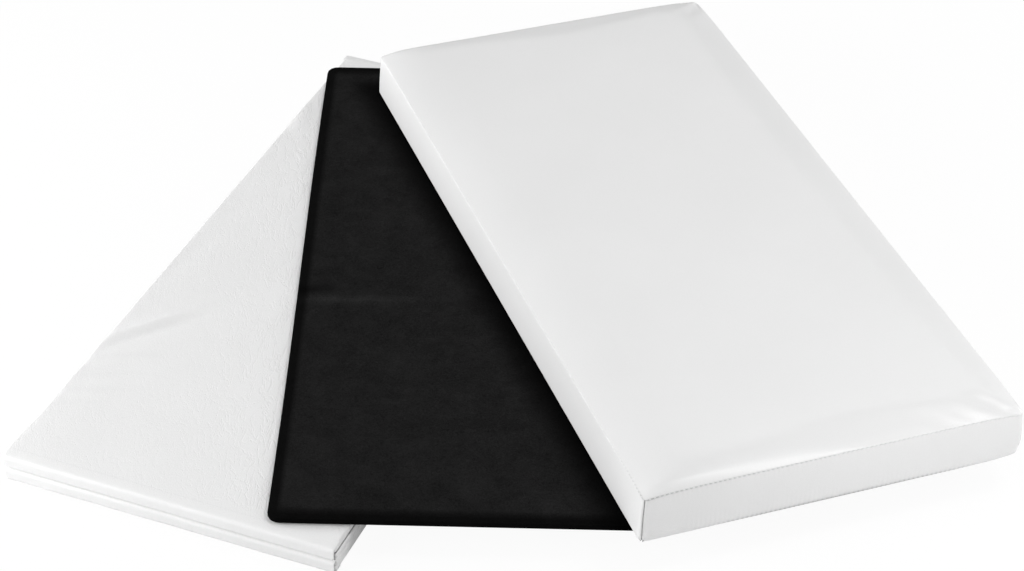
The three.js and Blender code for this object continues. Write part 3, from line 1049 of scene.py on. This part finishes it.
def sleeve_tone_and_shade(piece):
    """The colour's tone: darker along the hem, painted shade beside the lid's outline, and a lighter
    streak and a darker band near the crease
    """
    x, y, _ = local_points(piece, board_place).T
    inset = np.minimum(board_x - abs(x), (board_y - abs(y)) / END_HEM_SHARE)
    hem = HEM_TONE + (1 - HEM_TONE) * eased_step((inset - HEM_BAND) / HEM_FADE)
    lid_u, lid_v, _ = local_points(piece, lid_place).T
    outside = np.maximum(abs(lid_u) - lid_x, abs(lid_v) - lid_y)
    lid_shade = LID_SHADE_TONE + (1 - LID_SHADE_TONE) * eased_step(outside / LID_SHADE_REACH)
    streak = board_fold(x, y, (-40, -6), (-20, -2), 6, 0.6)
    dark = board_fold(x, y, (-30, 8), (45 - board_x / MM, 14), 7, -0.6)
    return hem * lid_shade * (1 + streak + dark)


sleeve = pad(
    "board_sleeve", board_place, board_x, board_y, BOARD_CORNER, BOARD_EDGE, SLEEVE_STEP,
    board_top, board_under,
)
mark(sleeve, "sleeve_tone_shade", sleeve_tone_and_shade(sleeve))
loosen(sleeve)
sleeve.data.materials.append(sleeve_cloth)
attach(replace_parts(sleeve, "board_sleeve_top", "board_sleeve_under"), "bottom_board")
print("sleeve has", len(sleeve.data.polygons), "faces")

# %% [markdown]
# ## The walls of the folded body
# Each wall is a hardboard panel in a leather skin that wraps its rims, with a cloth lining on the
# inside. Six such walls lie in four layers. The skin is a pad whose leather side is nearly flat and
# whose inner side is sunk by the lining's thickness, so the lining lies flush in it. Only the front
# wall is seen from above: its leather has slipped in folds at the left rim, and lies loose and finely
# creased beside the board.

# %% Relief of the walls
FOLD_LAP = 10 * MM  # how far a corner fold's leather runs onto a wall
EDGE_DRAW = -0.6  # mm, how far the leather has drawn in between the swells
EDGE_SWELLS = ((-200, 9, 0.9), (-248, 9, 1.2), (-345, 22, 3.0), (-368, 12, 2.0))  # along, width, size
LEFT_RIM, RIM_POWER = 164 * MM, 12  # the rim's place, and how closely the swells keep to it
FRONT_FOLDS = (  # start, end, width and height, in mm
    ((-182, -208), (-88, -92), 5, 1.5),
    ((-172, -214), (-84, -112), 7, -1.1),
    ((-186, -232), (-98, -188), 5, 1.0),
    ((-180, -246), (-90, -204), 7, -0.7),
    ((-190, -286), (-112, -252), 6, 0.9),
    ((-170, -110), (-140, 10), 12, -0.8),
    ((-182, 300), (-146, 200), 9, 2.2),
)
wall_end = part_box("front_wall_cover")[1].y


def on_board(x, y, margin):
    """1 under the bottom board, falling to 0 a margin away from it"""
    back = board_place.inverted()
    u = back[0][0] * x + back[0][1] * y + back[0][3]
    v = back[1][0] * x + back[1][1] * y + back[1][3]
    outside = np.maximum(abs(u) - board_x, abs(v) - board_y)
    return np.clip(1 - outside / margin, 0, 1)


def off_folds(y):
    """0 where a corner fold laps onto a wall, rising to 1 on the wall"""
    return np.clip((wall_end - FOLD_LAP - 2 * MM - abs(y)) / (12 * MM), 0, 1)


def front_relief(x, y):
    total = 0.5 * MM * waves(x, y, 0.13, 0.7)
    for start, end, width, height in FRONT_FOLDS:
        total = total + fold(x, y, np.array(start) * MM, np.array(end) * MM, width * MM, height * MM)
    return total * (1 - on_board(x, y, 10 * MM)) * off_folds(y)


def back_relief(x, y):
    return -0.1 * MM * (1 + waves(x, y, 0.1, 3.3)) * off_folds(y)


def swell_edge(skin):
    """Moves the front wall's left rim out where a fold runs over it"""
    for vertex in skin.data.vertices:
        spot = vertex.co
        reach = max(0.0, -spot.x / LEFT_RIM) ** RIM_POWER
        out = EDGE_DRAW
        for at, width, size in EDGE_SWELLS:
            out += size * math.exp(-(((spot.y - at * MM) / (width * MM)) ** 2))
        spot.x -= out * MM * reach


print("front wall has", len(FRONT_FOLDS), "folds")

# %% Wall skins
RIM_ROLL, RIM_CORNER = 2.4 * MM, 2.5 * MM
RECESS_LINES = (1.45 * MM, 1.55 * MM, 1.85 * MM)
HALF_RIM_REACH = 1.2 * MM  # the folded halves stand a little proud of the long walls
FINE_STEP, COARSE_STEP = 5 * MM, 11 * MM
wall_parts = ("back_wall", "near_end_lower", "far_end_lower")
wall_parts += ("near_end_upper", "far_end_upper", "front_wall")
parts_of_body = {part: f"{part}_half" if "end" in part else part for part in wall_parts}


def wall_skin(part, body):
    low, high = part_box(f"{part}_cover")
    lining_low, lining_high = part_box(f"{part}_lining")
    leather_up = high.z - lining_high.z > lining_low.z - low.z
    leather_level, lining_level = (high.z, low.z) if leather_up else (low.z, high.z)
    thickness = leather_level - lining_level
    sunk = (lining_high.z - lining_low.z) / abs(thickness)
    outward = math.copysign(1, thickness)
    reach = HALF_RIM_REACH if "end" in part else 0
    centre = Vector(((low.x + high.x + reach) / 2, (low.y + high.y) / 2, 0))
    half_x, half_y = (high.x - low.x + reach) / 2, (high.y - low.y) / 2
    relief = front_relief if part == "front_wall" else back_relief

    def outer(x, y, inset):
        swell = relief(x + centre.x, y + centre.y) * rolled(inset, 8 * MM)
        return lining_level + thickness * (0.5 + 0.5 * rolled(inset, RIM_ROLL)) + outward * swell

    def inner(x, y, inset):
        recess = sunk * np.clip((inset - RECESS_LINES[1]) / (RECESS_LINES[2] - RECESS_LINES[1]), 0, 1)
        return lining_level + thickness * (0.5 - 0.5 * rolled(inset, RIM_ROLL) + recess)

    step = FINE_STEP if part == "front_wall" else COARSE_STEP
    rules = (outer, inner) if leather_up else (inner, outer)
    place = Matrix.Translation(centre)
    skin = pad(f"{part}_skin", place, half_x, half_y, RIM_CORNER, RIM_ROLL, step, *rules, RECESS_LINES)
    skin.data.materials.append(wall_leather)
    if part == "front_wall":
        swell_edge(skin)
        x, y, _ = local_points(skin, Matrix()).T
        mark(skin, "slack", on_board(x, y, 90 * MM) ** 1.5 * off_folds(y))
    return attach(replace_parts(skin, f"{part}_cover"), body)


for part, body in parts_of_body.items():
    skin = wall_skin(part, body)
    print(skin.name, "has", len(skin.data.polygons), "faces")

# %% Wall linings
LINING_SLACK = 0.06 * MM


def wall_lining(part, body):
    low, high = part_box(f"{part}_lining")
    centre, half = (low + high) / 2, (high - low) / 2

    def face(way):
        def level(x, y, inset):
            loose = LINING_SLACK * (waves(x, y, 0.07, 5.1) - 1) * rolled(inset, 4 * MM)
            return centre.z + way * (half.z * rolled(inset, CLOTH_EDGE) + loose)

        return level

    place = Matrix.Translation((centre.x, centre.y, 0))
    sizes = (half.x, half.y, CLOTH_CORNER, CLOTH_EDGE, CLOTH_STEP)
    lining = pad(f"{part}_cloth", place, *sizes, face(1), face(-1))
    lining.data.materials.append(wall_cloth)
    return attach(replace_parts(lining, f"{part}_lining"), body)


for part, body in parts_of_body.items():
    lining = wall_lining(part, body)
    print(lining.name, "has", len(lining.data.polygons), "faces")

# %% [markdown]
# ## Corner folds and creases
# The leather runs on from one wall to the next round each folded corner. Such a strip crosses a
# hinge, so it is a ribbon with a U-shaped section. The creases between the two
# halves of an end wall are the same ribbon, far smaller. The near crease is where the ring of walls
# is open for the joints, so there each half has its own lip, and the two stop just short of meeting.

# %% Fold ribbons
RIBBON_THICKNESS, PROUD = 0.3 * MM, 0.03 * MM
NOSE_POINTS, NOSE_SHAPE = 21, 0.55
PINCH = 0.08  # a nose is this much slimmer where its rim rolls in
SLOT = 0.11  # the noses are this much thinner than the walls, so a dark slot shows between two folds
LAP_SUNK = 0.12 * MM
NOSE_WANDER, FOLD_LINE_WIDTH = 0.25 * MM, 0.7 * MM
RIBBON_ROLL, RIBBON_STEP = 3 * MM, 7 * MM


def ribbon(name, section, half_x, way):
    """Draws a section of (y, z) points along X, with its rims rolled in"""
    xs = grid_lines(half_x, RIBBON_ROLL, RIBBON_STEP)
    points = []
    for x in xs:
        rim = float(rolled(half_x - abs(x), RIBBON_ROLL))
        points += [(x, y, z) for y, z in section(x, rim)]
    rows = len(points) // len(xs)
    starts = [i * rows + j for i in range(len(xs) - 1) for j in range(rows - 1)]
    faces = [(a, a + rows, a + rows + 1, a + 1) for a in starts]
    if way > 0:
        faces = [tuple(reversed(f)) for f in faces]
    piece = finish_mesh(name, points, faces)
    give_thickness(piece, RIBBON_THICKNESS)
    piece.data.materials.append(wall_leather)
    return piece


def nose_section(end, way, middle, half_height, reach, sink, lap, dent):
    """A U from the lower face round the nose to the upper face"""

    def section(x, rim):
        shrink = 1 - PINCH * (1 - rim)
        wander = NOSE_WANDER * float(waves(x, middle, 0.05, end))
        laps = [(lap - k * RIBBON_THICKNESS, half_height - LAP_SUNK * (k == 0)) for k in range(3)]
        laps = [(end - way * inward, height) for inward, height in laps]
        rows = [(y, middle - height) for y, height in laps]
        for angle in np.linspace(-UPRIGHT, UPRIGHT, NOSE_POINTS):
            out = math.cos(angle) ** NOSE_SHAPE if math.cos(angle) > 0 else 0
            height = math.copysign(abs(math.sin(angle)) ** NOSE_SHAPE, angle)
            fold_line = dent * math.exp(-((height * half_height / FOLD_LINE_WIDTH) ** 2))
            y = end - way * sink + way * ((reach + sink + wander) * out * shrink - fold_line * rim)
            rows.append((y, middle + half_height * shrink * height * (1 - SLOT * out)))
        rows += [(y, middle + height) for y, height in reversed(laps)]
        return rows

    return section


print("a fold's section has", NOSE_POINTS + 6, "points")

# %% Corner folds
FOLD_NOSES = {"near": 3.6 * MM, "far": 1 * MM}  # at the far end the load presses the folds flat
FOLD_SINK, FOLD_DENT = 1 * MM, 0.5 * MM
for end_name, way in (("near", -1), ("far", 1)):
    lower, upper = f"{end_name}_end_lower", f"{end_name}_end_upper"
    corners = {"back": ("back_wall", lower), "front": (upper, "front_wall")}
    for corner_name, (below, above) in corners.items():
        low_box, high_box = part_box(f"{below}_cover"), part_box(f"{above}_cover")
        middle = (low_box[1].z + high_box[0].z) / 2
        half_height = middle - low_box[0].z + PROUD
        end = low_box[1].y if way > 0 else low_box[0].y
        nose = FOLD_NOSES[end_name]
        section = nose_section(end, way, middle, half_height, nose, FOLD_SINK, FOLD_LAP, FOLD_DENT)
        half_x = (low_box[1].x - low_box[0].x) / 2 - 0.3 * MM
        name = f"{end_name}_{corner_name}_corner_fold"
        piece = ribbon(name, section, half_x, way)
        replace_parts(piece, f"{end_name}_{corner_name}_corner_strip")
        start, finish = Vector((0, end, middle - 4 * MM)), Vector((0, end, middle + 4 * MM))
        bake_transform(piece)
        print(name, "bends round", round(middle, 5))

# %% Crease ribbons
CREASE_NOSES = {"near": 1.6 * MM, "far": 2.2 * MM}
CREASE_HEIGHT, CREASE_LAP = 1.5 * MM, 0.3 * MM
for end_name, way in (("near", 1), ("far", -1)):
    lower_box, upper_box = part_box(f"{end_name}_end_lower_cover"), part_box(f"{end_name}_end_upper_cover")
    strip = f"{end_name}_crease_strip"
    end = lower_box[1].y if way > 0 else lower_box[0].y
    middle = (lower_box[1].z + upper_box[0].z) / 2
    half_x = (lower_box[1].x - lower_box[0].x) / 2 - MM
    section = nose_section(end, way, middle, CREASE_HEIGHT, CREASE_NOSES[end_name], 0, CREASE_LAP, 0)
    if end_name == "far":
        piece = ribbon("far_crease_fold", section, half_x, way)
        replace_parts(piece, strip)
        start, finish = Vector((0, end, middle - MM)), Vector((0, end, middle + MM))
        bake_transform(piece)
        print(piece.name, "crosses the crease")
        continue
    for half_name, keep in (("lower", lambda z: z <= middle), ("upper", lambda z: z >= middle)):
        def half_section(x, rim, keep=keep):
            return [(y, z) for y, z in section(x, rim) if keep(z)]

        piece = ribbon(f"near_crease_{half_name}_lip", half_section, half_x, way)
        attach(piece, f"near_end_{half_name}_half")
        if half_name == "lower":
            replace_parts(piece, strip)
        print(piece.name, "meets its twin at the crease")

# %% [markdown]
# ## Floor, backdrop and light
# White goods on white need a gentle light. Some of it comes evenly from all round, and six softboxes
# give each face its own tone: low ones at the left, the right and the back for the sides, a front one
# for the body, a high back one for the tops, and a small long one overhead, laid along the lid's near
# edge, whose reflection is the shine on that shoulder. The floor is white to the camera by its own
# colour, and still takes a pale shadow.

# %% Floor and world
FLOOR_DROP, FLOOR_REACH = 0.3 * MM, 6
SHADOW_SHARE = 0.06  # how much of the seen floor answers to light
WORLD_STRENGTH = 0.25
WHITE = (1, 1, 1, 1)


def mixed(tree, share, first, second):
    made = node(tree, "ShaderNodeMixShader", Fac=share)
    feed(tree, first.outputs[0], made.inputs[1])
    feed(tree, second.outputs[0], made.inputs[2])
    return made


corners = ((-1, -1), (1, -1), (1, 1), (-1, 1))
corners = [(x * FLOOR_REACH, y * FLOOR_REACH, -FLOOR_DROP) for x, y in corners]
floor = finish_mesh("studio_floor", corners, [(0, 1, 2, 3)])
floor_paint = bpy.data.materials.new("Studio floor")
floor_paint.use_nodes = True
tree = floor_paint.node_tree
tree.nodes.clear()
matt = node(tree, "ShaderNodeBsdfDiffuse", Color=(0.85, 0.85, 0.85, 1))
pale = node(tree, "ShaderNodeBsdfDiffuse", Color=WHITE)
glow = node(tree, "ShaderNodeEmission", Color=WHITE, Strength=1.0)
rays = node(tree, "ShaderNodeLightPath").outputs
surface = mixed(tree, rays["Is Camera Ray"], matt, mixed(tree, SHADOW_SHARE, glow, pale))
node(tree, "ShaderNodeOutputMaterial", Surface=surface.outputs[0])
floor.data.materials.append(floor_paint)

world = bpy.data.worlds.new("Studio")
scene.world = world
world.use_nodes = True
tree = world.node_tree
tree.nodes.clear()
rays = node(tree, "ShaderNodeLightPath").outputs
seen = maths(tree, "ADD", rays["Is Camera Ray"], rays["Is Glossy Ray"])
seen = maths(tree, "ADD", seen, rays["Is Transmission Ray"])
seen.node.use_clamp = True
ambient = node(tree, "ShaderNodeBackground", Color=WHITE, Strength=WORLD_STRENGTH)
backdrop = node(tree, "ShaderNodeBackground", Color=WHITE, Strength=1.0)
node(tree, "ShaderNodeOutputWorld", Surface=mixed(tree, seen, ambient, backdrop).outputs[0])
print("floor and world ready")

# %% Lamps
softboxes = {  # place, aim, size and power
    "Left softbox": ((-1.4, -0.5, 0.4), (0.2, -0.1, 0.05), (1.0, 0.45), 17),
    "Front softbox": ((-1.2, -1.6, 0.9), (0.2, -0.2, 0.0), (1.0, 0.8), 24),
    "Right softbox": ((1.05, -0.45, 0.35), (0.5, -0.1, 0.05), (0.3, 0.3), 2.1),
    "Low back softbox": ((1.5, 1.2, 0.25), (0.3, 0.15, 0.06), (0.8, 0.3), 12),
    "Overhead softbox": ((1.03, 0.32, 1.6), (0.62, -0.27, 0.05), (0.34, 0.6), 8.0),
    "Back softbox": ((0.0, 2.0, 1.5), (0.1, 0.0, 0.0), (2.0, 1.0), 9),
}
for name, (place, aim, size, power) in softboxes.items():
    data = bpy.data.lights.new(name, "AREA")
    data.shape = "RECTANGLE"
    data.size, data.size_y = size
    data.energy = power
    facing = (Vector(aim) - Vector(place)).to_track_quat("-Z", "Y")
    add_object(name, data).matrix_world = Matrix.Translation(place) @ facing.to_matrix().to_4x4()

# %% [markdown]
# Soft pieces may stand a little proud of the solids, and no more.

scene.view_settings.view_transform = "Standard"
